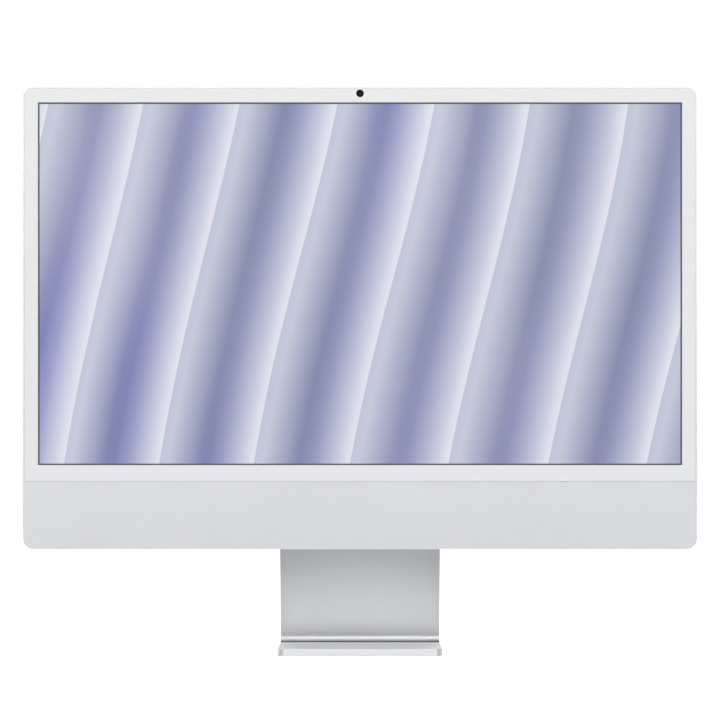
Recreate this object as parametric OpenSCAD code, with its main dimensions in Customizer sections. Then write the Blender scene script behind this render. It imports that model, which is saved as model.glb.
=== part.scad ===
// All-in-one desktop computer: a thin display housing tilting on a bent plate stand.
// Millimetres. +X is right and +Z up as the user faces the screen, and +Y is behind the screen.
// The origin is on the desk, under the middle of the whole object.
// The computer sits in the chin below the glass, and the space behind the panel holds
// the hinge fixing and the power socket.

/* [Display housing] */
// Width of the display housing
housing_w = 547; // [545:1:552]
// Height of the display housing
housing_h = 375; // [373:1:377]
// Thickness of the display housing
housing_t = 11.5; // [11.5:0.1:12]
// Radius of the housing's four corners
corner_r = 8.5; // [7.5:0.5:9]
// Radius of the rounded edge round the back
back_edge_r = 1.5; // [1:0.25:1.75]
// Height of the housing's top edge above the desk
top_z = 460; // [455:1:465]
// Thickness of the housing's walls
wall_t = 1.2; // [1:0.1:1.3]
// Height of the chin below the glass
chin_h = 54.9; // [54.5:0.1:56]

/* [Screen] */
// Thickness of the cover glass and of the chin panel
glass_t = 1.2; // [1:0.1:1.2]
// Width of the lit picture
picture_w = 522.4; // [520:0.2:523]
// Height of the lit picture
picture_h = 294.2; // [292:0.2:294.4]
// White border above the picture
top_border = 12.6; // [12:0.1:13]
// Camera centre below the housing's top edge
camera_drop = 5.3; // [5:0.1:5.5]

/* [Stand] */
// Width of the stand
stand_w = 132.3; // [130:0.1:134]
// Depth of the stand from toe to heel
stand_depth = 147; // [145:1:149]
// Thickness of the stand's plate
plate_t = 5.8; // [5.5:0.1:6]
// Angle of the upright from vertical
lean = 21; // [20:0.5:22]
// Radius inside the bend between foot and upright
bend_r = 4; // [3.5:0.5:6]
// Radius of the foot's front corners
toe_r = 8; // [6:1:10]
// Distance from the toe back to the front of the screen
toe_reach = 45.5; // [43:0.5:48]
// Radius of the cable hole through the upright
cable_hole_r = 17; // [16:0.5:18]

/* [Hinge] */
// Distance of the tilt axis behind the housing's back
axis_offset = 10; // [10:0.5:11]
// Radius of the hinge barrel
barrel_r = 7.5; // [7.2:0.1:7.6]
// Radius of the hinge shaft
shaft_r = 3.95; // [3.9:0.01:3.96]

/* [Connections] */
// Height of the power socket's centre above the desk
socket_z = 150; // [148:1:152]
// Radius of the power socket's recess
socket_r = 9; // [8.5:0.1:9.2]
// Depth of the power socket's recess
socket_depth = 4; // [3.5:0.1:4]
// Radius of the headphone socket's bore
jack_r = 1.8; // [1.78:0.01:1.85]
// Depth of the headphone socket's bore
jack_depth = 13; // [12:0.5:13]
// Distance between neighbouring data ports
port_pitch = 18; // [17:0.5:18]

/* [Hidden] */
$fn = 48;

// Colours of the finishes
silver = [0.84, 0.85, 0.87];
bright = [0.75, 0.76, 0.78];
white_glass = [0.93, 0.94, 0.95];
dark = [0.13, 0.13, 0.14];
board_black = [0.09, 0.10, 0.11];
copper = [0.80, 0.50, 0.32];
gold = [0.85, 0.68, 0.35];
eps = 0.01;

// Housing planes
front_y = -stand_depth / 2 + toe_reach;
back_y = front_y + housing_t;
inner_y = back_y - wall_t;
glass_back_y = front_y + glass_t;
lip_y = glass_back_y + 0.4;
lip_t = 2;
lip_w = 4.8;
cavity_y = lip_y + lip_t;
bottom_z = top_z - housing_h;
centre_z = top_z - housing_h / 2;
half_w = housing_w / 2;
seam_z = bottom_z + chin_h;
seam_gap = 0.12;
seat_gap = 0.05;
mid_y = (cavity_y + inner_y) / 2;
floor_z = bottom_z + wall_t;

// Screen
picture_z = top_z - top_border - picture_h / 2;
panel_margin = 2.5;
cell_t = 1.5;
tray_t = 2.9;
cell_back_y = glass_back_y + cell_t;
tray_back_y = cell_back_y + tray_t;
camera_z = top_z - camera_drop;
flex_y = tray_back_y;
flex_t = 0.3;

// Stand: the upright runs from the bend at the heel up to the barrel
pad_t = 1.2;
pad_proud = 0.3;
foot_top = pad_proud + plate_t;
bend_outer = bend_r + plate_t;
bend_mid = bend_r + plate_t / 2;
bulge = 0.05; // how far the bend stands proud of the plate's faces
bend_y = stand_depth / 2 - bend_outer - bulge;
bend_z = foot_top + bend_r;
axis_y = back_y + axis_offset;
upright_len = (bend_y + bend_mid * cos(lean) - axis_y) / sin(lean);
axis_z = bend_z + bend_mid * sin(lean) + upright_len * cos(lean);
hole_along = (socket_z - bend_z - bend_mid * sin(lean)) / cos(lean);

// Hinge, measured outwards from the middle of the shaft
barrel_half = 50;
bush_in = 40;
bush_r = 5.5;
bush_bore_r = 4;
ear_in = 50.6;
ear_out = stand_w / 2 - 0.25;
clutch_in = 57.6;
clutch_r = 6.2;
shaft_end = 63.6;
yoke_t = 1.5;
yoke_h = 23;
doubler_t = 2;
ear_screw_z = 5.4;
base_screw_z = 9;
screw_r = 1.5;

// Chin electronics
board_top_z = bottom_z + 52;
board_low_z = bottom_z + 6.6;
board_y = inner_y - 2.6;
board_t = 1.2;
board_x = [-118, 35.5];
chip_y = board_y;
fan_z = bottom_z + 29.2;
fan_left_x = -155;
fan_right_x = 72;
fan_half_w = 24;
fan_half_h = 22.3;
fan_back_y = inner_y - 0.7;
fan_depth = 7.2;
fan_front_y = fan_back_y - fan_depth;
fan_cover_t = 0.6;
fan_wall = 0.8;
impeller_r = 18.6;
impeller_bore_r = 1.06;
fan_pin_r = 1;
speaker_x = [205, 266.6];
speaker_z = [board_low_z, bottom_z + 40];
speaker_y = [cavity_y - 1.9, inner_y];
speaker_wall = 1;
woofer_x = [221, 253];
woofer_r = 12;
woofer_z = bottom_z + 23;
duct_y = [cavity_y + 0.3, inner_y - 0.5];
grille_y = [cavity_y + 0.2, inner_y - 0.5];
grille_hole_r = 0.7;
grille_pitch = 2.6;
vent_spans = [[-179, -131], [-116, 34], [48, 96]];
speaker_span = [208, 266];

// Connections
port_z = bottom_z + 26;
port_x0 = 116;
port_count = 4;
port_w = 3.4;
port_h = 9.1;
io_x = [105, 181];
io_y = cavity_y - 1.4;
io_t = 1;
jack_z = bottom_z + 46;
jack_sleeve_r = 3;
button_x = -193;
button_z = bottom_z + 18;
button_r = 6;
button_gap = 0.08;
button_travel = 0.6;
switch_y = inner_y - 2.6;

// ---------- helpers ----------

// A box given by its extents
module span(x, y, z) {
    translate([x[0], y[0], z[0]]) cube([x[1] - x[0], y[1] - y[0], z[1] - z[0]]);
}

// Extrudes a front-view outline (x, z) from the plane y0 to the plane y1
module slab(y0, y1) {
    translate([0, y1, 0]) rotate([90, 0, 0]) linear_extrude(y1 - y0) children();
}

// A cylinder along X, from x0 to x1
module rod_x(x0, x1, r, y, z) {
    translate([x0, y, z]) rotate([0, 90, 0]) cylinder(r = r, h = x1 - x0);
}

// A cylinder along Y, from y0 to y1
module rod_y(y0, y1, r, x, z) {
    translate([x, y0, z]) rotate([-90, 0, 0]) cylinder(r = r, h = y1 - y0);
}

// A rectangle with round corners, given by its extents
module rounded(x, z, r) {
    translate([x[0] + r, z[0]]) square([x[1] - x[0] - 2 * r, z[1] - z[0]]);
    translate([x[0], z[0] + r]) square([x[1] - x[0], z[1] - z[0] - 2 * r]);
    for (cx = [x[0] + r, x[1] - r], cz = [z[0] + r, z[1] - r]) translate([cx, cz]) circle(r);
}

// A slot outline with round ends, standing on its long axis
module upright_slot(w, h) {
    square([w, h - w], center = true);
    for (s = [-1, 1]) translate([0, s * (h - w) / 2]) circle(w / 2);
}

// Puts a copy on each side of the middle
module both_sides() {
    children();
    mirror([1, 0, 0]) children();
}

// The housing's outline in the front view, drawn in by d all round
module housing_outline(d) {
    rounded([-half_w + d, half_w - d], [bottom_z + d, top_z - d], corner_r - d);
}

// A round post with a screw hole on the housing's back wall, reaching forward to y0
module post(y0) {
    difference() {
        rod_y(y0, inner_y + eps, 2.2, 0, 0);
        rod_y(y0 - 1, inner_y - 0.1, 0.9, 0, 0);
    }
}

// A pan-head screw along Y with its head in front of the plane y0
module small_screw(y0, len) {
    rod_y(y0 - 0.9, y0, 1.7, 0, 0);
    rod_y(y0 - eps, y0 + len, 0.85, 0, 0);
}

// ---------- stand ----------

// Plan view of the foot's front, with round corners
module toe_outline() {
    x = stand_w / 2;
    y = stand_depth / 2;
    translate([-x, -y + toe_r]) square([stand_w, toe_r]);
    translate([-x + toe_r, -y]) square([stand_w - 2 * toe_r, toe_r]);
    for (s = [-1, 1]) translate([s * (x - toe_r), -y + toe_r]) circle(toe_r);
}

// Side view (y, z) of the foot, the bend and the upright. The bend is a wedge of a disc
// that reaches a little way into both plates.
module plate_profile() {
    reach = (acos(bend_outer / (bend_outer + bulge)) + acos(bend_r / (bend_r + bulge))) / 2;
    far = 3 * bend_outer;
    translate([bend_y, bend_z]) difference() {
        union() {
            translate([-bend_y - stand_depth / 2 + 2 * toe_r, -bend_outer])
                square([bend_y + stand_depth / 2 - 2 * toe_r, plate_t]);
            rotate(lean) translate([bend_r, 0]) square([plate_t, upright_len]);
            intersection() {
                circle(bend_outer + bulge);
                polygon([[0, 0], for (a = [-90 - reach, lean / 2 - 45, lean + reach])
                    [far * cos(a), far * sin(a)]]);
            }
        }
        circle(bend_r + bulge);
    }
}

// The upright's own axes: x across, y out of its front face and z along it from the bend
module on_upright() {
    translate([0, bend_y, bend_z]) rotate([lean, 0, 0]) children();
}

// One plate: the foot, the bend at the heel and the upright
module stand_plate() {
    translate([0, 0, pad_proud]) linear_extrude(plate_t) toe_outline();
    translate([-stand_w / 2, 0, 0]) rotate([90, 0, 90]) linear_extrude(stand_w) plate_profile();
}

module stand_arm() {
    ear_clear = barrel_r + 2;
    color(silver) difference() {
        union() {
            stand_plate();
            rod_x(-stand_w / 2, stand_w / 2, barrel_r, axis_y, axis_z);
        }
        both_sides() span([barrel_half, stand_w], [axis_y - 20, axis_y + 20],
            [axis_z - ear_clear, axis_z + 20]);
        rod_x(-stand_w, stand_w, bush_bore_r + 0.6, axis_y, axis_z);
        both_sides() rod_x(bush_in, stand_w, bush_r + 0.02, axis_y, axis_z);
        on_upright() rod_y(-bend_outer, 2 * bend_outer, cable_hole_r, 0, hole_along);
        pad_pocket(0.02);
    }
}

module pad_outline(grow) {
    inset = 6 - grow;
    x = stand_w / 2 - inset;
    y = stand_depth / 2 - inset;
    rounded([-x, x], [-y, bend_y - 4 + grow], toe_r - 3);
}

module pad_pocket(grow) {
    translate([0, 0, pad_proud - 1]) linear_extrude(1 + pad_t - pad_proud) pad_outline(grow);
}

module foot_pad() {
    color([0.72, 0.73, 0.75]) linear_extrude(pad_t) pad_outline(0);
}

module hinge_bushes() {
    color(bright) both_sides() difference() {
        union() {
            rod_x(bush_in, barrel_half + eps, bush_r, axis_y, axis_z);
            rod_x(barrel_half, ear_in - 0.1, barrel_r - 0.2, axis_y, axis_z);
        }
        rod_x(bush_in - 1, ear_in + 1, bush_bore_r, axis_y, axis_z);
    }
}

// ---------- housing ----------

// A strip of the slab: x runs outwards to the edge and y from front to back, round at the back
module edge_strip(reach) {
    e = back_edge_r;
    square([reach - e, housing_t]);
    square([reach, housing_t - e]);
    translate([reach - e, housing_t - e]) circle(e);
}

// The outer slab: straight strips and quarter-round corners that meet face to face
module housing_block() {
    r = corner_r;
    for (s = [0, 1]) translate([half_w - r, front_y, centre_z]) mirror([0, 0, s])
        rotate([0, -90, 0]) linear_extrude(housing_w - 2 * r) edge_strip(housing_h / 2);
    both_sides() {
        translate([half_w - r, front_y, bottom_z + r]) {
            linear_extrude(housing_h - 2 * r) edge_strip(r);
            rotate([-90, 0, 0]) rotate_extrude(angle = 90) edge_strip(r);
        }
        translate([half_w - r, front_y, top_z - r])
            rotate([-90, 0, 0]) rotate([0, 0, -90]) rotate_extrude(angle = 90) edge_strip(r);
    }
}

// The space inside: a seat for the glass, a lip behind it, and the cavity
module housing_cavity() {
    slab(front_y - 1, lip_y) housing_outline(wall_t);
    slab(lip_y - eps, cavity_y + eps) housing_outline(wall_t + lip_w);
    slab(cavity_y, inner_y) housing_outline(wall_t);
    span([-13, 24], [lip_y - eps, cavity_y + eps], [camera_z - 8, top_z - wall_t - 0.5]);
}

module bottom_windows() {
    z = [bottom_z - 1, floor_z + 1];
    for (v = vent_spans) span(v, grille_y, z);
    both_sides() span(speaker_span, grille_y, z);
}

module back_openings() {
    rod_y(back_y - 5, back_y + 5, socket_r + 3, 0, socket_z);
    rod_y(back_y - 5, back_y + 5, button_r + button_gap, button_x, button_z);
    for (i = [0:port_count - 1]) slab(back_y - 5, back_y + 5)
        translate([port_x0 + i * port_pitch, port_z]) upright_slot(port_w, port_h);
    hinge_screw_places() rod_y(back_y - 5, back_y + 5, screw_r + 0.2, 0, 0);
}

module microphone_places() {
    for (x = [-30, 30, 60]) translate([x, mid_y, 0]) children();
}

module rear_housing() {
    color(silver) {
        difference() {
            housing_block();
            housing_cavity();
            bottom_windows();
            back_openings();
            rod_x(-half_w - 1, -half_w + 5, jack_sleeve_r + 0.04, mid_y, jack_z);
            microphone_places() translate([0, 0, top_z - 3]) cylinder(r = 0.5, h = 4);
        }
        board_screw_places() post(board_y + board_t);
        speaker_screw_places() post(board_y + board_t);
        io_screw_places() post(io_y + io_t);
        fan_screw_places() post(fan_back_y);
        switch_post_places() rod_y(switch_y - 2, inner_y + eps, 1.2, 0, 0);
    }
}

module cover_glass() {
    r = corner_r - wall_t - seat_gap;
    x = half_w - wall_t - seat_gap;
    z = top_z - wall_t - seat_gap;
    color(white_glass) slab(front_y, glass_back_y) {
        translate([-x, seam_z + seam_gap / 2]) square([2 * x, z - r - seam_z - seam_gap / 2]);
        translate([-x + r, z - r - eps]) square([2 * x - 2 * r, r + eps]);
        for (s = [-1, 1]) translate([s * (x - r), z - r]) circle(r);
    }
}

module chin_panel() {
    r = corner_r - wall_t - seat_gap;
    x = half_w - wall_t - seat_gap;
    z = floor_z + seat_gap;
    color(silver) slab(front_y, glass_back_y) {
        translate([-x, z + r]) square([2 * x, seam_z - seam_gap / 2 - z - r]);
        translate([-x + r, z]) square([2 * x - 2 * r, r + eps]);
        for (s = [-1, 1]) translate([s * (x - r), z + r]) circle(r);
    }
}

// Foam tape on the lip and on the middle rail
module display_adhesive() {
    x = half_w - wall_t - 1;
    tape_w = 3;
    color(dark) slab(glass_back_y, lip_y) {
        for (s = [-1, 1]) translate([s * (x - tape_w / 2), centre_z])
            square([tape_w, housing_h - 2 * corner_r], center = true);
        translate([-half_w + corner_r + 4, floor_z + 1]) square([housing_w - 2 * corner_r - 8, tape_w]);
        for (s = [-1, 1]) translate([s * (half_w + 30) / 2, top_z - wall_t - 1 - tape_w / 2])
            square([half_w - 2 * corner_r - 30, tape_w], center = true);
        translate([-half_w + 8, seam_z - 2.5]) square([housing_w - 16, 2.2]);
        translate([-half_w + 8, seam_z + 0.3]) square([housing_w - 16, 2.2]);
    }
}

module mid_rail() {
    x = half_w - wall_t - lip_w;
    color(bright) span([-x, x], [lip_y, cavity_y], [seam_z - 3, seam_z + 3]);
}

// ---------- screen ----------

module lcd_cell() {
    x = picture_w / 2 + panel_margin;
    z = picture_h / 2 + panel_margin;
    color([0.58, 0.60, 0.76]) slab(glass_back_y, cell_back_y)
        translate([0, picture_z]) square([2 * x, 2 * z], center = true);
}

module backlight_tray() {
    x = picture_w / 2 + panel_margin;
    z = picture_h / 2 + panel_margin;
    color(bright) difference() {
        slab(cell_back_y, tray_back_y) translate([0, picture_z]) square([2 * x, 2 * z], center = true);
        slab(tray_back_y - 0.4, tray_back_y + 1) for (s = [-1, 1])
            translate([s * x / 2, picture_z]) square([x - 30, 2 * z - 30], center = true);
    }
}

camera_half_h = 3.5;
sensor_board_y = glass_back_y + 4.2;

// The camera's block, on a small board that hangs from the top wall
module camera_module() {
    color(dark) difference() {
        union() {
            span([-10, 10], [glass_back_y + 0.9, sensor_board_y + eps],
                [camera_z - camera_half_h, camera_z + camera_half_h]);
            span([-12, 23], [sensor_board_y, sensor_board_y + 0.8],
                [camera_z - camera_half_h, top_z - wall_t]);
        }
        rod_y(glass_back_y, glass_back_y + 3, 2.3, 0, camera_z);
    }
}

module camera_lens() {
    color([0.05, 0.05, 0.08]) rod_y(glass_back_y + 0.1, glass_back_y + 2.9, 2.2, 0, camera_z);
}

module light_sensor() {
    color(dark) span([18, 22], [glass_back_y + 0.1, sensor_board_y], [camera_z - 1.5, camera_z + 1.5]);
}

module microphones() {
    color(bright) microphone_places() span([-2, 2], [-1.5, 1.5], [top_z - wall_t - 1.2, top_z - wall_t]);
}

module wifi_antennas() {
    color(copper) both_sides()
        span([120, 160], [mid_y - 2, mid_y + 2], [top_z - wall_t - 0.8, top_z - wall_t]);
}

// ---------- logic board ----------

module board_screw_places() {
    for (x = [board_x[0] + 4, board_x[1] - 4], z = [board_low_z + 4, board_top_z - 6])
        translate([x, 0, z]) children();
}

module logic_board() {
    color(board_black) difference() {
        span(board_x, [board_y, board_y + board_t], [board_low_z, board_top_z - 2]);
        board_screw_places() rod_y(board_y - 1, board_y + board_t + 1, 1, 0, 0);
    }
}

soc_x = -40;
soc_z = bottom_z + 32;

module processor() {
    color([0.62, 0.63, 0.66]) {
        span([soc_x - 15, soc_x + 15], [chip_y - 0.8, chip_y], [soc_z - 12, soc_z + 12]);
        span([soc_x - 12, soc_x + 4], [chip_y - 1.6, chip_y - 0.8 + eps], [soc_z - 9, soc_z + 9]);
        for (s = [-1, 1]) translate([soc_x + 9.5, 0, soc_z + s * 5])
            span([-3.5, 3.5], [chip_y - 1.6, chip_y - 0.8 + eps], [-3.8, 3.8]);
    }
}

module storage_chips() {
    color(dark) for (x = [-96, -80]) translate([x, 0, bottom_z + 20])
        span([-6, 6], [chip_y - 1.1, chip_y], [-7, 7]);
}

module power_inductors() {
    color([0.35, 0.35, 0.37]) for (i = [0:4], j = [0:1])
        translate([-13 + i * 8, 0, bottom_z + 13 + j * 8])
            span([-3, 3], [chip_y - 2.4, chip_y], [-3, 3]);
}

module board_connectors() {
    color([0.88, 0.86, 0.80]) for (c = [[-65, 26], [-7, 10], [5, 6], [-106, 10], [24, 10]])
        translate([c[0], 0, board_top_z - 5])
            span([-c[1] / 2, c[1] / 2], [flex_y + flex_t, chip_y], [-2, 2]);
}

module shield_can() {
    color(bright) span([-72, -60], [chip_y - 1.4, chip_y], [bottom_z + 11, bottom_z + 24]);
}

pipe_t = 2.2;
spreader_y = chip_y - 2.4;

module heat_spreader() {
    color(copper) span([soc_x - 13, soc_x + 14], [spreader_y, chip_y - 1.6], [soc_z - 10, soc_z + 10]);
}

// A flattened pipe from one fin stack to the other, across the processor
module heat_pipe() {
    r = pipe_t / 2;
    y = spreader_y - r;
    low = soc_z - 3.5 + r;
    high = soc_z + 3.5 - r;
    x = [-129.5, 46.5];
    color(copper) {
        span(x, [y - r, y + r], [low, high]);
        for (z = [low, high]) rod_x(x[0], x[1], r, y, z);
    }
}

// Fins across the outlet of each fan, hung from a plate that lies on the heat pipe
module fin_stack(x0) {
    x = [x0, x0 + 9];
    z0 = fan_z - 18;
    span(x, [spreader_y, spreader_y + 0.5], [z0, z0 + 36.4]);
    for (i = [0:16]) span(x, [spreader_y, inner_y - 1.2], [z0 + i * 2.25, z0 + i * 2.25 + 0.4]);
}

module fin_stacks() {
    color([0.78, 0.55, 0.40]) {
        fin_stack(fan_left_x + fan_half_w + 1.2);
        fin_stack(fan_right_x - fan_half_w - 10.2);
    }
}

module clock_battery() {
    color(bright) {
        rod_y(chip_y - 2, chip_y, 5, 28, bottom_z + 22);
        rod_y(chip_y - 2.3, chip_y - 2 + eps, 4.2, 28, bottom_z + 22);
    }
}

module board_screws() {
    color(bright) {
        board_screw_places() small_screw(board_y, 2.4);
        speaker_screw_places() small_screw(board_y, 2.4);
        io_screw_places() small_screw(io_y, 5);
    }
}

// ---------- fans ----------

module fan_screw_places() {
    for (x = [fan_left_x, fan_right_x], s = [-1, 1])
        translate([x + s * (fan_half_w - 3), 0, fan_z - s * (fan_half_h - 3)]) children();
}

// An open tray with a round chamber, an outlet on the side out and a pin for the impeller
module fan_case(x, out) {
    side = out * fan_half_w;
    difference() {
        span([x - fan_half_w, x + fan_half_w], [fan_front_y, fan_back_y],
            [fan_z - fan_half_h, fan_z + fan_half_h]);
        rod_y(fan_front_y - 1, fan_back_y - fan_wall, impeller_r + 1.6, x, fan_z);
        span([min(x, x + side * 2), max(x, x + side * 2)], [fan_front_y - 1, fan_back_y - fan_wall],
            [fan_z - 3, fan_z + impeller_r + 1.6]);
        fan_screw_places() rod_y(fan_front_y - 1, fan_back_y + 1, 0.9, 0, 0);
        for (s = [-1, 1]) rod_y(fan_front_y - 1, fan_front_y + 3, 1,
            x + s * (fan_half_w - 3), fan_z + s * (fan_half_h - 3));
    }
    rod_y(fan_front_y + 1.2, fan_back_y - fan_wall + eps, fan_pin_r, x, fan_z);
}

module fan_cover(x) {
    color(dark) difference() {
        span([x - fan_half_w, x + fan_half_w], [fan_front_y - fan_cover_t, fan_front_y],
            [fan_z - fan_half_h, fan_z + fan_half_h]);
        rod_y(fan_front_y - 2, fan_front_y + 1, 13, x, fan_z);
        for (sx = [-1, 1], sz = [-1, 1]) rod_y(fan_front_y - 2, fan_front_y + 1, 0.95,
            x + sx * (fan_half_w - 3), fan_z + sz * (fan_half_h - 3));
    }
}

// A blower wheel: a hub, a thin back plate and straight blades set at an angle
module fan_impeller(x, turn) {
    back = fan_back_y - fan_wall - 0.6;
    front = fan_front_y + 0.7;
    blades = 29;
    color([0.20, 0.20, 0.21]) translate([x, 0, fan_z]) difference() {
        union() {
            rod_y(back - 0.8, back, impeller_r - 0.3, 0, 0);
            rod_y(front, back, 7.5, 0, 0);
            slab(front + 0.3, back - 0.4) for (i = [0:blades - 1]) rotate(i * 360 / blades)
                translate([13, 0]) rotate(turn * 28) translate([-1.5, -0.35]) square([6.6, 0.7]);
        }
        rod_y(front + 0.35, back + 1, impeller_bore_r, 0, 0);
    }
}

module fan_left_case() { color(dark) fan_case(fan_left_x, 1); }
module fan_right_case() { color(dark) fan_case(fan_right_x, -1); }
module fan_left_cover() { fan_cover(fan_left_x); }
module fan_right_cover() { fan_cover(fan_right_x); }
module fan_left_impeller() { fan_impeller(fan_left_x, 1); }
module fan_right_impeller() { fan_impeller(fan_right_x, -1); }

module fan_screws() {
    color(bright) fan_screw_places() {
        rod_y(fan_front_y - 0.55 - fan_cover_t, fan_front_y - fan_cover_t, 1.5, 0, 0);
        rod_y(fan_front_y - fan_cover_t - eps, fan_back_y + 0.5, 0.85, 0, 0);
    }
}

// ---------- sound ----------

module speaker_screw_places() {
    both_sides() for (x = [212, 246]) translate([x, 0, speaker_z[1] + 3]) children();
}

module speaker_box() {
    w = speaker_wall;
    color(dark) difference() {
        union() {
            span(speaker_x, speaker_y, speaker_z);
            for (x = [212, 246]) span([x - 3, x + 3], [board_y, board_y + board_t],
                [speaker_z[1] - eps, speaker_z[1] + 6]);
            span([speaker_span[0] + 1, speaker_span[1] - 1], duct_y, [floor_z + 0.1, speaker_z[0] + eps]);
        }
        span([speaker_x[0] + w, speaker_x[1] - w], [speaker_y[0] + w, speaker_y[1] - w],
            [speaker_z[0] + w, speaker_z[1] - w]);
        for (x = woofer_x) rod_y(speaker_y[0] - 1, speaker_y[0] + 2, woofer_r + 0.02, x, woofer_z);
        speaker_screw_places() rod_y(board_y - 1, board_y + board_t + 1, 1, 0, 0);
        span([speaker_span[0] + 2, speaker_span[1] - 2], [duct_y[0] + w, duct_y[1] - w],
            [floor_z - 1, speaker_z[0] + w + 1]);
    }
}

module speaker_right_box() { speaker_box(); }
module speaker_left_box() { mirror([1, 0, 0]) speaker_box(); }

// A basket and magnet behind a dished cone
module woofer(x) {
    y = speaker_y[0];
    translate([x, y, woofer_z]) rotate([-90, 0, 0]) rotate_extrude() polygon([
        [0, 1.2], [3.5, 1.2], [9.6, 0.1], [10.6, 0.1], [woofer_r, 0],
        [woofer_r, 0.9], [10, 1.3], [6.5, 3.6], [6.5, 5.4], [0, 5.4]
    ]);
}

module woofers() {
    color([0.24, 0.24, 0.26]) both_sides() for (x = woofer_x) woofer(x);
}

module tweeters() {
    color(bright) both_sides() for (x = [214, 260])
        span([x - 3, x + 3], [duct_y[0] + 1.2, duct_y[1] - 1.2], [floor_z + 0.6, floor_z + 3.2]);
}

// A strip of the bottom wall drilled with two rows of holes
module grille(x) {
    gap = 0.02;
    count = floor((x[1] - x[0] - 4) / grille_pitch);
    start = (x[0] + x[1] - (count - 1) * grille_pitch) / 2;
    difference() {
        span([x[0] + gap, x[1] - gap], [grille_y[0] + gap, grille_y[1] - gap], [bottom_z, floor_z]);
        for (i = [0:count - 1], s = [-1, 1])
            translate([start + i * grille_pitch, (grille_y[0] + grille_y[1]) / 2 + s * grille_pitch / 2,
                bottom_z - 1]) cylinder(r = grille_hole_r, h = wall_t + 2, $fn = 16);
    }
}

module speaker_grilles() {
    color(silver) both_sides() grille(speaker_span);
}

module vent_grilles() {
    color(silver) for (v = vent_spans) grille(v);
}

// ---------- power and ports ----------

socket_back_t = 0.7;

// A round recess with a flange inside the wall and a ring pocket for the magnet
module power_socket() {
    y = back_y - socket_depth - socket_back_t;
    color([0.90, 0.90, 0.91]) difference() {
        union() {
            rod_y(y, back_y, socket_r + 2.95, 0, socket_z);
            rod_y(inner_y - 1.5, inner_y, socket_r + 5, 0, socket_z);
        }
        rod_y(back_y - socket_depth, back_y + 1, socket_r, 0, socket_z);
        difference() {
            rod_y(y - 1, back_y - 1.4, socket_r + 2.2, 0, socket_z);
            rod_y(y - 2, back_y, socket_r + 0.8, 0, socket_z);
        }
    }
}

module socket_magnet() {
    color(bright) difference() {
        rod_y(back_y - socket_depth - socket_back_t, back_y - 1.5, socket_r + 2.15, 0, socket_z);
        rod_y(back_y - 10, back_y, socket_r + 0.85, 0, socket_z);
    }
}

// Contact pads on the socket's floor: one in the middle and four round it
module socket_contacts() {
    floor_y = back_y - socket_depth;
    color(gold) for (p = [[0, 0, 1.6], [5.2, 0, 0.8], [-5.2, 0, 0.8], [0, 5.2, 0.8], [0, -5.2, 0.8]])
        rod_y(floor_y, floor_y + 0.15, p[2], p[0], socket_z + p[1]);
}

module inlet_harness() {
    front = back_y - socket_depth - socket_back_t;
    color(dark) span([-12, -2], [front - 0.9, front], [board_top_z - 3, socket_z - 4]);
}

module io_screw_places() {
    for (x = [io_x[0] + 3.5, io_x[1] - 3.5]) translate([x, 0, bottom_z + 42]) children();
}

module port_places() {
    for (i = [0:port_count - 1]) translate([port_x0 + i * port_pitch, port_z]) children();
}

module io_board() {
    color(board_black) difference() {
        span(io_x, [io_y, io_y + io_t], [board_low_z + 3, bottom_z + 46]);
        io_screw_places() rod_y(io_y - 1, io_y + io_t + 1, 1, 0, 0);
    }
}

module usb_shells() {
    color(bright) difference() {
        slab(io_y + io_t, inner_y - 0.05) port_places() upright_slot(port_w + 1, port_h + 1);
        slab(io_y + io_t + 0.8, inner_y + 1) port_places() upright_slot(port_w - 0.2, port_h - 0.2);
    }
}

module usb_tongues() {
    color(dark) slab(io_y + io_t + 0.8, inner_y - 0.5) port_places() square([0.7, 6.7], center = true);
}

module headphone_jack() {
    x = -half_w;
    color([0.25, 0.25, 0.27]) difference() {
        union() {
            rod_x(x, x + wall_t + 0.1, jack_sleeve_r, mid_y, jack_z);
            span([x + wall_t + 0.05, x + jack_depth + 2], [mid_y - 3, mid_y + 3], [jack_z - 3.4, jack_z + 3.4]);
        }
        rod_x(x - 1, x + jack_depth, jack_r, mid_y, jack_z);
    }
}

module power_button() {
    flange_y = inner_y - 0.1;
    color(silver) {
        rod_y(flange_y - eps, back_y, button_r, button_x, button_z);
        rod_y(flange_y - 0.7, flange_y, button_r + 1.2, button_x, button_z);
        rod_y(inner_y - 1.8, flange_y, 1.6, button_x, button_z);
    }
}

module switch_post_places() {
    for (s = [-1, 1]) translate([button_x, 0, button_z + s * 9.2]) children();
}

module power_switch() {
    body_y = switch_y - 1;
    color(bright) {
        rod_y(body_y - eps, switch_y, 1.7, button_x, button_z);
        span([button_x - 3, button_x + 3], [body_y - 1 - eps, body_y], [button_z - 3, button_z + 3]);
    }
    color(board_black)
        span([button_x - 5, button_x + 5], [body_y - 2, body_y - 1], [button_z - 10.6, button_z + 10.6]);
}

module display_flex() {
    color([0.55, 0.38, 0.16]) span([-78, -52], [flex_y, flex_y + flex_t],
        [board_top_z - 7, picture_z - picture_h / 2 + 6]);
}

module camera_flex() {
    color([0.55, 0.38, 0.16]) span([2, 8], [flex_y, flex_y + flex_t],
        [board_top_z - 7, camera_z - camera_half_h]);
}

// ---------- hinge ----------

module hinge_screw_places() {
    for (s = [-1, 1]) {
        for (t = [-1, 1]) {
            translate([s * 54, 0, axis_z + t * ear_screw_z]) children();
            translate([s * 22, 0, axis_z + t * base_screw_z]) children();
        }
    }
}

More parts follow.
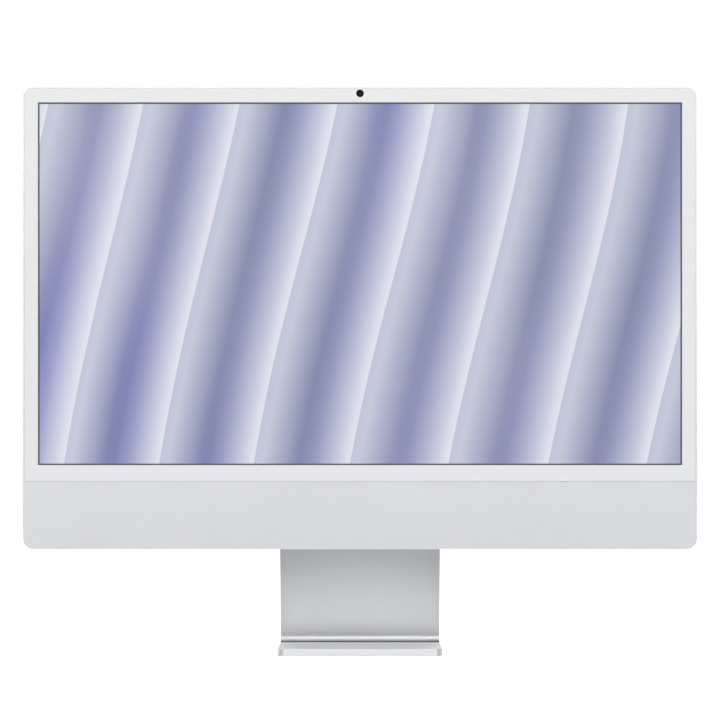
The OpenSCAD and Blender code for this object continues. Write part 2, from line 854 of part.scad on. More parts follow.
module hinge_yoke() {
    color(silver) difference() {
        union() {
            span([-ear_out, ear_out], [back_y, back_y + yoke_t], [axis_z - yoke_h / 2, axis_z + yoke_h / 2]);
            both_sides() {
                rod_x(ear_in, ear_out, barrel_r, axis_y, axis_z);
                span([ear_in, ear_out], [back_y, axis_y], [axis_z - barrel_r, axis_z + barrel_r]);
            }
        }
        both_sides() {
            rod_x(ear_in - 1, ear_out, bush_bore_r, axis_y, axis_z);
            rod_x(clutch_in, ear_out + 1, clutch_r, axis_y, axis_z);
        }
        hinge_screw_places() rod_y(back_y - 1, back_y + yoke_t - 0.3, screw_r + 0.05, 0, 0);
    }
}

module hinge_plate() {
    x = ear_out - 2;
    color(bright) difference() {
        span([-x, x], [inner_y - doubler_t, inner_y], [axis_z - 13, axis_z + 13]);
        hinge_screw_places() rod_y(inner_y - 5, inner_y + 1, screw_r + 0.2, 0, 0);
    }
}

module hinge_screws() {
    head_t = 1.3;
    y = inner_y - doubler_t;
    color(bright) hinge_screw_places() {
        rod_y(y - head_t, y, 2.7, 0, 0);
        rod_y(y - eps, back_y + yoke_t - 0.4, screw_r, 0, 0);
    }
}

module hinge_shaft() {
    color(bright) rod_x(-shaft_end, shaft_end, shaft_r, axis_y, axis_z);
}

washer_t = 0.6;

module friction_washers() {
    color([0.72, 0.62, 0.40]) both_sides() difference() {
        rod_x(clutch_in, clutch_in + washer_t, clutch_r - 0.25, axis_y, axis_z);
        rod_x(clutch_in - 1, clutch_in + 2, bush_bore_r, axis_y, axis_z);
    }
}

// Conical spring washers stacked in pairs, point to point
disc_count = 4;
disc_t = 0.35;
disc_dish = 0.25;

module disc_springs() {
    inner = bush_bore_r + 0.05;
    outer = clutch_r - 0.3;
    pitch = disc_t + disc_dish;
    color(bright) both_sides() for (i = [0:disc_count - 1]) {
        flip = i % 2;
        in_x = flip * disc_dish;
        out_x = (1 - flip) * disc_dish;
        translate([clutch_in + washer_t + i * pitch, axis_y, axis_z]) rotate([0, 90, 0]) rotate_extrude()
            polygon([[inner, in_x], [outer, out_x], [outer, out_x + disc_t], [inner, in_x + disc_t]]);
    }
}

module hinge_nuts() {
    x = clutch_in + washer_t + disc_count * (disc_t + disc_dish);
    color(bright) both_sides() difference() {
        translate([x, axis_y, axis_z]) rotate([0, 90, 0]) cylinder(r = clutch_r - 0.2, h = 2.8, $fn = 6);
        rod_x(x - 1, x + 5, shaft_r + 0.02, axis_y, axis_z);
    }
}

module hinge_end_caps() {
    color(silver) both_sides() rod_x(shaft_end + 0.4, ear_out, clutch_r - 0.03, axis_y, axis_z);
}

stand_arm();
foot_pad();
hinge_bushes();
rear_housing();
cover_glass();
chin_panel();
display_adhesive();
mid_rail();
lcd_cell();
backlight_tray();
camera_module();
camera_lens();
light_sensor();
microphones();
wifi_antennas();
logic_board();
processor();
storage_chips();
power_inductors();
board_connectors();
shield_can();
heat_spreader();
heat_pipe();
fin_stacks();
clock_battery();
board_screws();
fan_left_case();
fan_left_cover();
fan_left_impeller();
fan_right_case();
fan_right_cover();
fan_right_impeller();
fan_screws();
speaker_left_box();
speaker_right_box();
woofers();
tweeters();
speaker_grilles();
vent_grilles();
power_socket();
socket_magnet();
socket_contacts();
inlet_harness();
io_board();
usb_shells();
usb_tongues();
headphone_jack();
power_button();
power_switch();
display_flex();
camera_flex();
hinge_yoke();
hinge_plate();
hinge_screws();
hinge_shaft();
friction_washers();
disc_springs();
hinge_nuts();
hinge_end_caps();
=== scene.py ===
"""Looks of the all-in-one desktop computer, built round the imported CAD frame. Metres."""

import math

import bmesh
import bpy
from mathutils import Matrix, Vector


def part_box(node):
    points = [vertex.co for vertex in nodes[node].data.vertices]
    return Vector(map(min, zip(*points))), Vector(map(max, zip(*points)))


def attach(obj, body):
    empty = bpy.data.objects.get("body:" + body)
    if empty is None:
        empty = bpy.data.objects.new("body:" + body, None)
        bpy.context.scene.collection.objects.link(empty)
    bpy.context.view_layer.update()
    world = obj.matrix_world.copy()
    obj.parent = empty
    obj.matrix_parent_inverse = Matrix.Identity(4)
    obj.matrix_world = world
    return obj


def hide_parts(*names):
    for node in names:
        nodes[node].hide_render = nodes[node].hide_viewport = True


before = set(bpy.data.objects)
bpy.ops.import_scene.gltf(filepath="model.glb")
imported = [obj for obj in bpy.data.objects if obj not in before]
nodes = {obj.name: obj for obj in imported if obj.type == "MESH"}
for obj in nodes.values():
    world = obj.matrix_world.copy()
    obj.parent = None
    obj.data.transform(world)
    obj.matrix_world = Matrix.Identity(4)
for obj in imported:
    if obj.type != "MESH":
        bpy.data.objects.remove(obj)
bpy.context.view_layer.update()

MM = 0.001
scene = bpy.context.scene

# ---------------------------------------------------------------- camera
# A long lens at the height of the lower third, shifted up by RISE so that uprights stay upright.
CAMERA_DISTANCE = 3.4
CAMERA_HEIGHT = 0.155
VIEW_WIDTH = 0.5839
SENSOR_WIDTH = 36
RISE = 0.1429
camera_data = bpy.data.cameras.new("camera")
camera = bpy.data.objects.new("camera", camera_data)
scene.collection.objects.link(camera)
scene.camera = camera
front_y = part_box("cover_glass")[0][1]
camera.location = (0.0, front_y - CAMERA_DISTANCE, CAMERA_HEIGHT)
camera.rotation_euler = (math.radians(90), 0, 0)
camera_data.sensor_width = SENSOR_WIDTH
camera_data.lens = SENSOR_WIDTH * CAMERA_DISTANCE / VIEW_WIDTH
camera_data.shift_y = RISE
camera_data.clip_start = 0.1
camera_data.clip_end = 50

# ---------------------------------------------------------------- stage and light
scene.view_settings.view_transform = "Standard"
scene.view_settings.look = "None"

# The room is dim grey round the softboxes, and the camera sees a plain white backdrop.
BACKDROP = 1.04
AMBIENT = 0.10
world = bpy.data.worlds.new("studio")
scene.world = world
world.use_nodes = True
room = world.node_tree.nodes["Background"]
room.inputs["Color"].default_value = (0.985, 0.99, 1.0, 1)
room.inputs["Strength"].default_value = AMBIENT
backdrop = world.node_tree.nodes.new("ShaderNodeBackground")
backdrop.inputs["Color"].default_value = (1, 1, 1, 1)
backdrop.inputs["Strength"].default_value = BACKDROP
rays = world.node_tree.nodes.new("ShaderNodeLightPath")
either = world.node_tree.nodes.new("ShaderNodeMixShader")
world.node_tree.links.new(rays.outputs["Is Camera Ray"], either.inputs["Fac"])
world.node_tree.links.new(room.outputs["Background"], either.inputs[1])
world.node_tree.links.new(backdrop.outputs["Background"], either.inputs[2])
world.node_tree.links.new(either.outputs["Shader"], world.node_tree.nodes["World Output"].inputs["Surface"])


def area_light(name, place, target, size, radiance):
    data = bpy.data.lights.new(name, "AREA")
    data.shape = "RECTANGLE"
    data.size, data.size_y = size
    data.energy = math.pi * size[0] * size[1] * radiance
    lamp = bpy.data.objects.new(name, data)
    scene.collection.objects.link(lamp)
    lamp.location = place
    lamp.rotation_euler = (Vector(target) - Vector(place)).to_track_quat("-Z", "Y").to_euler()
    return lamp


# name: place, target, width and height, radiance
SOFTBOXES = {
    "front": ((0, -6.0, 2.6), (0, 0, 0.05), (9.0, 3.0), 2.9),
    "front_left": ((-2.9, -3.8, 1.8), (0, 0, 0.15), (2.4, 3.4), 1.7),
    "front_right": ((2.9, -3.8, 1.8), (0, 0, 0.15), (2.4, 3.4), 1.7),
    "top": ((0, 0.6, 4.5), (0, 0.6, 0), (9.0, 8.0), 0.15),
    "rear": ((0, 6.0, 3.2), (0, 0, 0.25), (6.0, 3.4), 2.0),
    "rear_left": ((-3.6, 2.4, 1.4), (0, 0, 0.2), (1.4, 2.4), 5.5),
    "rear_right": ((3.6, 2.4, 1.4), (0, 0, 0.2), (1.4, 2.4), 5.5),
}
for name, softbox in SOFTBOXES.items():
    area_light(name, *softbox)


# ---------------------------------------------------------------- material helpers
NOISE_LOW, NOISE_HIGH = 0.3, 0.7


class Tree:
    """A short way to write a Principled material's nodes."""

    def __init__(self, name):
        self.material = bpy.data.materials.new(name)
        self.material.use_nodes = True
        self.nodes = self.material.node_tree.nodes
        self.links = self.material.node_tree.links
        self.shader = self.nodes["Principled BSDF"]
        self.output = self.nodes["Material Output"]
        self.coordinate = self.nodes.new("ShaderNodeTexCoord").outputs["Object"]

    def add(self, kind, **values):
        node = self.nodes.new("ShaderNode" + kind)
        for key, value in values.items():
            setattr(node, key, value)
        return node

    def link(self, source, target):
        self.links.new(source, target)

    def set(self, **values):
        for key, value in values.items():
            self.shader.inputs[key.replace("_", " ")].default_value = value
        return self

    def mapped(self, scale=(1, 1, 1), rotation=(0, 0, 0)):
        node = self.add("Mapping")
        node.inputs["Scale"].default_value = scale
        node.inputs["Rotation"].default_value = rotation
        self.link(self.coordinate, node.inputs["Vector"])
        return node.outputs["Vector"]

    def noise(self, scale, detail=2.0, roughness=0.5, vector=None):
        node = self.add("TexNoise")
        node.inputs["Scale"].default_value = scale
        node.inputs["Detail"].default_value = detail
        node.inputs["Roughness"].default_value = roughness
        self.link(vector or self.coordinate, node.inputs["Vector"])
        return node.outputs["Fac"]

    def ramp(self, source, stops):
        node = self.add("ValToRGB")
        ramp = node.color_ramp
        while len(ramp.elements) < len(stops):
            ramp.elements.new(0.5)
        for element, (place, colour) in zip(ramp.elements, stops):
            element.position = place
            element.color = (*colour, 1)
        self.link(source, node.inputs["Fac"])
        return node.outputs["Color"]

    def two_tone(self, noise, first, second):
        """One colour where the noise is low, another where it is high."""
        return self.ramp(noise, [(NOISE_LOW, first), (NOISE_HIGH, second)])

    def spread(self, source, low, high, smooth=False):
        """A value that runs from low to high over the noise's usual span."""
        node = self.add("MapRange")
        node.inputs["From Min"].default_value = NOISE_LOW
        node.inputs["From Max"].default_value = NOISE_HIGH
        node.inputs["To Min"].default_value = low
        node.inputs["To Max"].default_value = high
        node.interpolation_type = "SMOOTHSTEP" if smooth else "LINEAR"
        self.link(source, node.inputs["Value"])
        return node.outputs["Result"]

    def bump(self, source, distance, strength=1.0, normal=None):
        node = self.add("Bump")
        node.inputs["Distance"].default_value = distance
        node.inputs["Strength"].default_value = strength
        self.link(source, node.inputs["Height"])
        if normal is not None:
            self.link(normal, node.inputs["Normal"])
        return node.outputs["Normal"]

    def math(self, operation, a, b=None):
        node = self.add("Math", operation=operation)
        for socket, value in zip(node.inputs, (a, b)):
            if value is None:
                continue
            if isinstance(value, (int, float)):
                socket.default_value = value
            else:
                self.link(value, socket)
        return node.outputs["Value"]

    def to(self, source, socket):
        self.link(source, self.shader.inputs[socket])
        return self


def shade(colour, factor):
    return tuple(min(1.0, c * factor) for c in colour)


def screen_colour(red, green, blue):
    """A display colour in steps of 0 to 255, as linear light."""
    return tuple(((c / 255 + 0.055) / 1.055) ** 2.4 for c in (red, green, blue))


# Painted shade on the stand's colour, from the toe (0) to the heel (1): a brightness factor that falls near
# black at the bend
HEEL_SHADE_STOPS = [(0, (0.97,) * 3), (0.85, (0.95,) * 3), (0.96, (0.5,) * 3), (1, (0.04,) * 3)]
# How far that painted shade holds, on faces that look down (0) to faces that look up (1)
HEEL_SHADE_FACING = [(0.36, (0,) * 3), (0.45, (0.12,) * 3), (0.85, (0.3,) * 3), (0.95, (1,) * 3)]


def painted_heel_shade(t, tone, toe, heel):
    """Paints shade into the colour of upward faces toward the bend, darkest in the crease."""
    place = t.add("SeparateXYZ")
    t.link(t.coordinate, place.inputs["Vector"])
    facing = t.add("SeparateXYZ")
    t.link(t.add("NewGeometry").outputs["Normal"], facing.inputs["Vector"])
    along = t.add("MapRange")
    along.inputs["From Min"].default_value = toe
    along.inputs["From Max"].default_value = heel
    t.link(place.outputs["Y"], along.inputs["Value"])
    upward = t.math("ADD", t.math("MULTIPLY", facing.outputs["Z"], 0.5), 0.5)
    shaded_tone = t.add("Mix", data_type="RGBA", blend_type="MULTIPLY")
    t.link(t.ramp(upward, HEEL_SHADE_FACING), shaded_tone.inputs["Factor"])
    t.link(tone, shaded_tone.inputs["A"])
    t.link(t.ramp(along.outputs["Result"], HEEL_SHADE_STOPS), shaded_tone.inputs["B"])
    return shaded_tone.outputs["Result"]


def blasted_metal(name, colour, rough, grain=2600, depth=0.00002, vary=0.03, metallic=1.0, heel=None):
    """Bead-blasted, anodised aluminium: fine grain, slow cloudiness in colour and gloss.

    A heel is the depth of the toe and of the bend, in the node's own space, for the painted shade toward
    the bend.
    """
    t = Tree(name).set(Metallic=metallic)
    cloud = t.noise(9, 3, 0.55)
    fine = t.noise(grain, 2, 0.6)
    tone = t.two_tone(cloud, shade(colour, 1 - vary), shade(colour, 1 + vary))
    if heel:
        # Painted shade: the colour darkens toward the bend on upward faces
        tone = painted_heel_shade(t, tone, *heel)
    t.to(tone, "Base Color")
    t.to(t.spread(t.noise(420, 3, 0.6), rough - 0.035, rough + 0.035), "Roughness")
    t.to(t.bump(fine, depth), "Normal")
    return t.material


def machined_metal(name, colour, rough, stretch=(1, 1, 1), depth=0.00001):
    """Turned or stamped metal with a drawn-out grain along one axis."""
    t = Tree(name).set(Metallic=1.0)
    grain = t.noise(900, 3, 0.6, t.mapped(stretch))
    t.to(t.two_tone(t.noise(60, 3), shade(colour, 0.9), shade(colour, 1.08)), "Base Color")
    t.to(t.spread(grain, rough - 0.08, rough + 0.08), "Roughness")
    t.to(t.bump(grain, depth), "Normal")
    return t.material


def moulded_plastic(name, colour, rough, grain=1500, depth=0.00003, vary=0.12, coat=0.0):
    """Moulded plastic with a fine spark-eroded texture."""
    t = Tree(name).set(Coat_Weight=coat, Coat_Roughness=0.08)
    fine = t.noise(grain, 2, 0.55)
    t.to(t.two_tone(t.noise(35, 3), shade(colour, 1 - vary), shade(colour, 1 + vary)), "Base Color")
    t.to(t.spread(t.noise(300, 3), rough - 0.05, rough + 0.05), "Roughness")
    t.to(t.bump(fine, depth), "Normal")
    return t.material


# ---------------------------------------------------------------- materials
SILVER = (0.760, 0.767, 0.795)
silver = blasted_metal("silver_shell", SILVER, 0.42, metallic=0.6)
toe_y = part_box("stand_arm")[0][1]
bend_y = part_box("foot_pad")[1][1]
# The stand's colour carries painted shade, darkening the foot's top toward the bend
stand_silver = blasted_metal("stand_silver", (0.850, 0.855, 0.875), 0.45, metallic=0.5,
                             heel=(toe_y, bend_y))
chin_silver = blasted_metal("chin_silver", (0.835, 0.842, 0.870), 0.32,
                            grain=3200, depth=0.00001, vary=0.008, metallic=0.6)
rim_silver = blasted_metal("rim_silver", (0.70, 0.705, 0.73), 0.34, vary=0.02)
grille_silver = blasted_metal("grille_silver", (0.70, 0.705, 0.73), 0.45, metallic=0.6)
steel = machined_metal("machined_steel", (0.56, 0.57, 0.59), 0.3, (0.15, 1, 1))
screw_steel = machined_metal("screw_steel", (0.36, 0.37, 0.39), 0.34)
frame_metal = machined_metal("stamped_frame", (0.62, 0.63, 0.64), 0.36, (1, 1, 0.2))
bronze = machined_metal("bush_bronze", (0.56, 0.40, 0.20), 0.32)
copper = machined_metal("plain_copper", (0.72, 0.36, 0.22), 0.28, (0.12, 1, 1))
gold = machined_metal("gold_contacts", (0.83, 0.60, 0.24), 0.22)
magnet_metal = machined_metal("magnet_nickel", (0.50, 0.49, 0.48), 0.24)
black_plastic = moulded_plastic("black_plastic", (0.020, 0.020, 0.022), 0.5)
fan_plastic = moulded_plastic("fan_plastic", (0.028, 0.028, 0.030), 0.42)
foam = moulded_plastic("foam_tape", (0.012, 0.012, 0.013), 0.85, grain=700, depth=0.0001, vary=0.3)
silicone = moulded_plastic("foot_silicone", (0.42, 0.425, 0.44), 0.68, grain=900, depth=0.00006, vary=0.05)
ivory = moulded_plastic("ivory_plastic", (0.66, 0.61, 0.50), 0.42)
white_plastic = moulded_plastic("socket_plastic", (0.70, 0.71, 0.73), 0.32, vary=0.02, coat=0.4)
jack_plastic = moulded_plastic("jack_plastic", (0.045, 0.045, 0.050), 0.3, vary=0.1, coat=0.5)
chip_plastic = moulded_plastic("chip_plastic", (0.022, 0.023, 0.025), 0.6, grain=2200)


def make_board():
    """Black solder mask over a grid of faint tracks and plated holes."""
    t = Tree("board_mask").set(Coat_Weight=0.25, Coat_Roughness=0.25)
    track = t.add("TexBrick")
    track.offset_frequency, track.squash_frequency = 3, 2
    track.inputs["Scale"].default_value = 260
    track.inputs["Mortar Size"].default_value = 0.035
    track.inputs["Color1"].default_value = (0.010, 0.013, 0.014, 1)
    track.inputs["Color2"].default_value = (0.014, 0.018, 0.020, 1)
    track.inputs["Mortar"].default_value = (0.030, 0.036, 0.038, 1)
    t.link(t.mapped(rotation=(math.radians(90), 0, 0)), track.inputs["Vector"])
    t.to(track.outputs["Color"], "Base Color")
    t.to(t.spread(t.noise(500, 3), 0.38, 0.5), "Roughness")
    t.to(t.bump(track.outputs["Fac"], 0.00003), "Normal")
    return t.material


def make_flex():
    """Amber film with darker parallel tracks under it."""
    t = Tree("flex_film").set(Coat_Weight=0.5, Coat_Roughness=0.1, Roughness=0.4)
    wave = t.add("TexWave", wave_type="BANDS", bands_direction="X")
    wave.inputs["Scale"].default_value = 420
    t.link(t.coordinate, wave.inputs["Vector"])
    tracks = t.ramp(wave.outputs["Fac"], [(0.35, (0.28, 0.10, 0.015)), (0.6, (0.46, 0.20, 0.04))])
    t.to(tracks, "Base Color")
    t.to(t.bump(wave.outputs["Fac"], 0.00003), "Normal")
    return t.material


def make_border():
    """White print behind clear glass: an even white under a hard, glossy coat."""
    t = Tree("white_border").set(Coat_Weight=1.0, Coat_Roughness=0.03, Coat_IOR=1.5)
    t.to(t.two_tone(t.noise(14, 2), (0.882, 0.885, 0.900), (0.894, 0.897, 0.912)), "Base Color")
    t.to(t.spread(t.noise(900, 2), 0.42, 0.5), "Roughness")
    t.to(t.bump(t.noise(2400, 2), 0.000003), "Normal")
    return t.material


def make_line():
    """The dark printed edge of the picture."""
    t = Tree("picture_edge").set(Coat_Weight=1.0, Coat_Roughness=0.04)
    t.to(t.two_tone(t.noise(40, 2), (0.060, 0.060, 0.076), (0.072, 0.072, 0.088)), "Base Color")
    t.to(t.spread(t.noise(900, 2), 0.45, 0.55), "Roughness")
    return t.material


def make_mask():
    """Black print round the camera's window."""
    t = Tree("camera_mask").set(Coat_Weight=1.0, Coat_Roughness=0.03, Specular_IOR_Level=0.1)
    t.to(t.two_tone(t.noise(60, 2), (0.0030, 0.0030, 0.0034), (0.0045, 0.0045, 0.0050)), "Base Color")
    t.to(t.spread(t.noise(900, 2), 0.5, 0.6), "Roughness")
    return t.material


def make_clear(name, reflect):
    """Clear coated glass: it lets the panel behind it through and keeps a faint reflection."""
    t = Tree(name)
    t.nodes.remove(t.shader)
    clear = t.add("BsdfTransparent")
    gloss = t.add("BsdfGlossy")
    gloss.inputs["Color"].default_value = (0.9, 0.92, 1.0, 1)
    gloss.inputs["Roughness"].default_value = 0.04
    t.link(t.bump(t.noise(2400, 2), 0.000002), gloss.inputs["Normal"])
    fresnel = t.add("Fresnel")
    fresnel.inputs["IOR"].default_value = 1.38
    mix = t.add("MixShader")
    t.link(t.math("MULTIPLY", fresnel.outputs["Fac"], reflect), mix.inputs["Fac"])
    t.link(clear.outputs["BSDF"], mix.inputs[1])
    t.link(gloss.outputs["BSDF"], mix.inputs[2])
    t.link(mix.outputs["Shader"], t.output.inputs["Surface"])
    return t.material


FOLD_PITCH = 0.078
FOLD_SLANT = math.radians(-10)
SWAY_LENGTH = 0.62
SWAY, DRIFT = 0.12, 0.7
# Screen colours across one fold, from its near edge to its far edge
FOLDS = (
    ((0.00, (196, 200, 220)), (0.08, (200, 204, 222)), (0.22, (172, 177, 205)), (0.42, (122, 129, 178)),
     (0.52, (116, 122, 178)), (0.68, (152, 157, 203)), (0.86, (203, 206, 228)), (0.97, (226, 228, 239)),
     (1.00, (229, 230, 240))),
    ((0.00, (198, 200, 219)), (0.10, (203, 205, 222)), (0.34, (182, 182, 210)), (0.56, (154, 152, 196)),
     (0.78, (190, 190, 217)), (0.96, (228, 229, 239)), (1.00, (230, 231, 240))),
    ((0.00, (190, 196, 213)), (0.10, (194, 200, 216)), (0.28, (158, 166, 190)), (0.46, (116, 127, 158)),
     (0.64, (146, 155, 185)), (0.86, (196, 200, 219)), (0.97, (224, 226, 236)), (1.00, (228, 229, 238))),
)


def make_picture():
    """The lit panel: soft swaying folds in lavender, periwinkle and grey-blue."""
    t = Tree("lit_picture").set(Roughness=0.35, Emission_Strength=0.95)
    t.shader.inputs["Base Color"].default_value = (0.01, 0.01, 0.012, 1)
    slant = t.mapped(rotation=(0, FOLD_SLANT, 0))
    parts = t.add("SeparateXYZ")
    t.link(slant, parts.inputs["Vector"])
    sway = t.math("SINE", t.math("MULTIPLY", parts.outputs["Z"], 2 * math.pi / SWAY_LENGTH))
    drift = t.noise(2.2, 1, 0.3, t.mapped((1, 1, 0.5)))
    across = t.math("ADD", t.math("MULTIPLY", parts.outputs["X"], 1 / FOLD_PITCH),
                    t.math("ADD", t.math("MULTIPLY", drift, DRIFT), t.math("MULTIPLY", sway, SWAY)))
    fold = t.math("FRACT", across)
    blue, lilac, steely = (t.ramp(fold, [(place, screen_colour(*colour)) for place, colour in stops])
                           for stops in FOLDS)
    first = t.add("Mix", data_type="RGBA")
    t.link(t.spread(t.noise(4.5, 1, 0.3, t.mapped((1, 1, 0.6))), 0, 1, smooth=True), first.inputs["Factor"])
    t.link(blue, first.inputs["A"])
    t.link(lilac, first.inputs["B"])
    second = t.add("Mix", data_type="RGBA")
    t.link(t.spread(t.noise(3.8, 1, 0.3, t.mapped((1.3, 1, 0.9), (0, 0.9, 0))), 0, 0.75, smooth=True),
           second.inputs["Factor"])
    t.link(first.outputs["Result"], second.inputs["A"])
    t.link(steely, second.inputs["B"])
    t.to(second.outputs["Result"], "Emission Color")
    return t.material


def make_lens():
    """Dark coated glass whose colour turns faintly violet toward grazing angles: a painted sheen of the
    coating's reflection.
    """
    t = Tree("lens_glass").set(Coat_Weight=1.0, Coat_Roughness=0.02, Roughness=0.12)
    layer = t.add("LayerWeight")
    layer.inputs["Blend"].default_value = 0.35
    # Painted sheen: violet put into the base colour toward grazing angles
    painted_coating_sheen = t.ramp(layer.outputs["Facing"], [(0.0, (0.004, 0.004, 0.012)), (0.8, (0.03, 0.015, 0.07))])
    t.to(painted_coating_sheen, "Base Color")
    return t.material


board_mask = make_board()
flex_film = make_flex()
border_white = make_border()
picture_edge = make_line()
camera_mask = make_mask()
clear_window = make_clear("clear_window", 0.8)
lens_glass = make_lens()
picture = make_picture()

# ---------------------------------------------------------------- carried-over CAD nodes
NODE_MATERIALS = {
    "stand_arm": stand_silver, "foot_pad": silicone, "hinge_bushes": bronze,
    "rear_housing": silver, "chin_panel": chin_silver, "display_adhesive": foam, "mid_rail": frame_metal,
    "lcd_cell": picture, "backlight_tray": frame_metal, "camera_module": black_plastic,
    "camera_lens": lens_glass, "light_sensor": black_plastic, "microphones": steel,
    "wifi_antennas": copper, "logic_board": board_mask, "processor": steel,
    "storage_chips": chip_plastic, "power_inductors": chip_plastic, "board_connectors": ivory,
    "shield_can": steel, "heat_spreader": copper, "heat_pipe": copper, "fin_stacks": copper,
    "clock_battery": steel, "board_screws": screw_steel,
    "fan_left_case": fan_plastic, "fan_left_cover": fan_plastic, "fan_left_impeller": fan_plastic,
    "fan_right_case": fan_plastic, "fan_right_cover": fan_plastic, "fan_right_impeller": fan_plastic,
    "fan_screws": screw_steel, "speaker_left_box": black_plastic, "speaker_right_box": black_plastic,
    "woofers": black_plastic, "tweeters": steel, "speaker_grilles": grille_silver,
    "vent_grilles": grille_silver, "power_socket": white_plastic, "socket_magnet": magnet_metal,
    "socket_contacts": gold, "inlet_harness": black_plastic, "io_board": board_mask,
    "usb_shells": steel, "usb_tongues": black_plastic, "headphone_jack": jack_plastic,
    "power_button": rim_silver, "power_switch": steel, "display_flex": flex_film, "camera_flex": flex_film,
    "hinge_yoke": silver, "hinge_plate": frame_metal, "hinge_screws": screw_steel,
    "hinge_shaft": steel, "friction_washers": bronze, "disc_springs": steel, "hinge_nuts": steel,
    "hinge_end_caps": rim_silver,
}
# Radius of the broken edge on each visible node, in millimetres
EDGE_RADIUS = {
    "stand_arm": 0.45, "foot_pad": 0.3, "rear_housing": 0.15, "hinge_yoke": 0.35, "hinge_end_caps": 0.3,
    "power_button": 0.25, "power_socket": 0.25, "headphone_jack": 0.12, "usb_shells": 0.08,
    "usb_tongues": 0.08, "hinge_bushes": 0.15, "fan_left_case": 0.2, "fan_right_case": 0.2,
    "speaker_left_box": 0.3, "speaker_right_box": 0.3, "processor": 0.08, "storage_chips": 0.1,
    "power_inductors": 0.3, "board_connectors": 0.15, "shield_can": 0.2, "heat_spreader": 0.1,
    "clock_battery": 0.25, "camera_module": 0.15, "hinge_plate": 0.2,
}


WELD_REACH = 0.002 * MM
BEVEL_STEPS = 3
SHARP = math.radians(38)


def soften(piece, radius):
    """Joins the CAD faces' edges, rounds the sharp ones and keeps the flat faces flat in the light."""
    weld = piece.modifiers.new("weld", "WELD")
    weld.merge_threshold = WELD_REACH
    bevel = piece.modifiers.new("bevel", "BEVEL")
    bevel.width = radius * MM
    bevel.segments = BEVEL_STEPS
    bevel.limit_method = "ANGLE"
    bevel.angle_limit = SHARP
    bevel.use_clamp_overlap = True
    level = piece.modifiers.new("level", "WEIGHTED_NORMAL")
    level.mode = "FACE_AREA"
    level.weight = 100


for name, finish in NODE_MATERIALS.items():
    piece = nodes[name]
    piece.data.materials.clear()
    piece.data.materials.append(finish)
    if name in EDGE_RADIUS:
        soften(piece, EDGE_RADIUS[name])


# ---------------------------------------------------------------- cover glass
def outline(x, top, bottom, radius, count=20):
    """Front view of a plate with its two top corners rounded, anticlockwise from the bottom left."""
    points = [(-x, bottom), (x, bottom)]
    for centre, start in (((x - radius, top - radius), 0), ((-x + radius, top - radius), 90)):
        for i in range(count + 1):
            angle = math.radians(start + 90 * i / count)
            points.append((centre[0] + radius * math.cos(angle), centre[1] + radius * math.sin(angle)))
    return points


def rectangle(x, top, bottom):
    return [(-x, bottom), (x, bottom), (x, top), (-x, top)]


def circle(radius, z, count=36):
    turn = 2 * math.pi / count
    return [(radius * math.cos(i * turn), z + radius * math.sin(i * turn)) for i in range(count)]


def ring(bm, points, y):
    return [bm.verts.new((px, y, pz)) for px, pz in points]


def loop_edges(bm, verts):
    return [bm.edges.get((a, b)) or bm.edges.new((a, b)) for a, b in zip(verts, verts[1:] + verts[:1])]


def strip(bm, first, second, slot):
    """Quads between two rings with the same number of points."""
    for i in range(len(first)):
        j = (i + 1) % len(first)
        face = bm.faces.new((first[i], first[j], second[j], second[i]))
        face.material_index = slot
        face.smooth = True


def fill(bm, rings, slot):
    """One flat face with holes, from an outer ring and the rings of its holes."""
    edges = [e for verts in rings for e in loop_edges(bm, verts)]
    for face in bmesh.ops.triangle_fill(bm, use_beauty=True, edges=edges)["geom"]:
        if isinstance(face, bmesh.types.BMFace):
            face.material_index = slot


def finish_piece(name, bm, materials, body, slot, *replaces):
    bmesh.ops.recalc_face_normals(bm, faces=bm.faces[:])
    mesh = bpy.data.meshes.new(name)
    bm.to_mesh(mesh)
    bm.free()
    for finish in materials:
        mesh.materials.append(finish)
    piece = bpy.data.objects.new(name, mesh)
    scene.collection.objects.link(piece)
    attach(piece, body)
    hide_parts(*replaces)


low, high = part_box("cover_glass")
panel_low, panel_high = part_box("lcd_cell")
camera_low, camera_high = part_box("camera_lens")
PRINT, EDGE, CLEAR, MASK = range(4)
MARGIN = 2.5 * MM
LINE = 1.25 * MM
BACK_GAP = 0.06 * MM
ROUND_STEPS = 4
corner_r = 7.25 * MM
round_r = 0.3 * MM
picture_x = panel_high[0] - MARGIN
picture_low, picture_high = panel_low[2] + MARGIN, panel_high[2] - MARGIN
camera_z = (camera_low[2] + camera_high[2]) / 2
mask_r = 3.15 * MM
window_r = 1.25 * MM
glass_back = high[1] - BACK_GAP

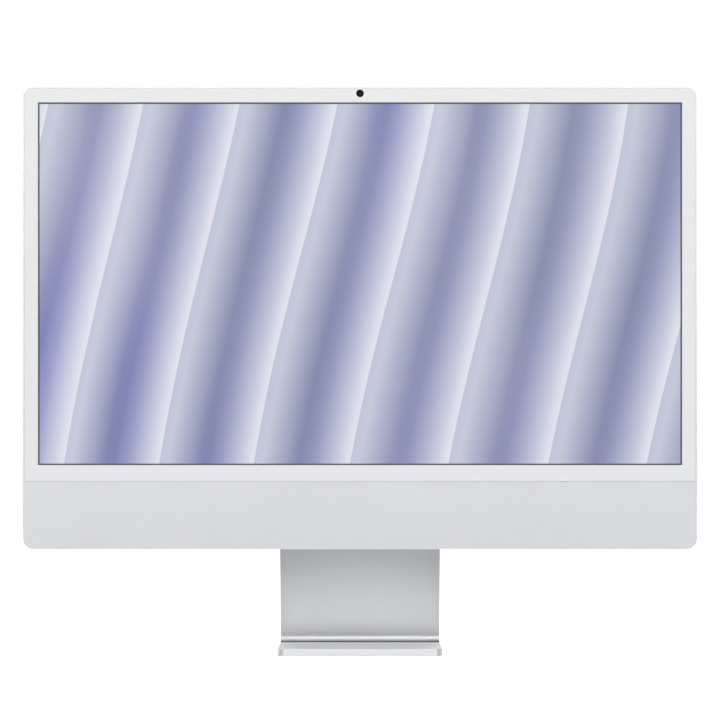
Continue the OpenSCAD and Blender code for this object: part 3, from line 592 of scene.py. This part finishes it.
# The sheet's rounded front edge, then its straight side, ring by ring from front to back
bm = bmesh.new()
rings = []
for step in range(ROUND_STEPS + 1):
    angle = math.radians(90 * step / ROUND_STEPS)
    inset = round_r * (1 - math.sin(angle))
    rings.append(ring(bm, outline(high[0] - inset, high[2] - inset, low[2] + inset, corner_r - inset),
                      low[1] + round_r * (1 - math.cos(angle))))
rings.append(ring(bm, outline(high[0], high[2], low[2], corner_r), glass_back))
for first, second in zip(rings, rings[1:]):
    strip(bm, first, second, PRINT)

# Its front and back faces: the print, the picture's dark edge, the clear window and the camera's mask
for y, sheet_ring in ((low[1], rings[0]), (glass_back, rings[-1])):
    outer = ring(bm, rectangle(picture_x, picture_high, picture_low), y)
    inner = ring(bm, rectangle(picture_x - LINE, picture_high - LINE, picture_low + LINE), y)
    mask = ring(bm, circle(mask_r, camera_z), y)
    eye = ring(bm, circle(window_r, camera_z), y)
    fill(bm, [sheet_ring, outer, mask], PRINT)
    strip(bm, outer, inner, EDGE)
    strip(bm, mask, eye, MASK)
    for opening in (inner, eye):
        bm.faces.new(opening).material_index = CLEAR
finish_piece("front_glass", bm, [border_white, picture_edge, clear_window, camera_mask],
             "display", "front_glass", "cover_glass")


# ---------------------------------------------------------------- floor
FLOOR_GREY = (0.50, 0.50, 0.50)
FLOOR_SPILL = 0.97
FLOOR_HALF = 8
FLOOR_CELLS = 8


def make_floor():
    """Pale grey paper. The backdrop's light spills on it in the camera's view, so it reads as white."""
    t = Tree("pale_floor").set(Emission_Color=(FLOOR_SPILL, FLOOR_SPILL, FLOOR_SPILL, 1))
    t.to(t.two_tone(t.noise(1.5, 3), shade(FLOOR_GREY, 0.99), shade(FLOOR_GREY, 1.01)), "Base Color")
    t.to(t.spread(t.noise(200, 3), 0.55, 0.65), "Roughness")
    t.to(t.add("LightPath").outputs["Is Camera Ray"], "Emission Strength")
    return t.material


bm = bmesh.new()
bmesh.ops.create_grid(bm, x_segments=FLOOR_CELLS, y_segments=FLOOR_CELLS, size=FLOOR_HALF)
mesh = bpy.data.meshes.new("floor")
bm.to_mesh(mesh)
bm.free()
mesh.materials.append(make_floor())
floor = bpy.data.objects.new("floor", mesh)
scene.collection.objects.link(floor)
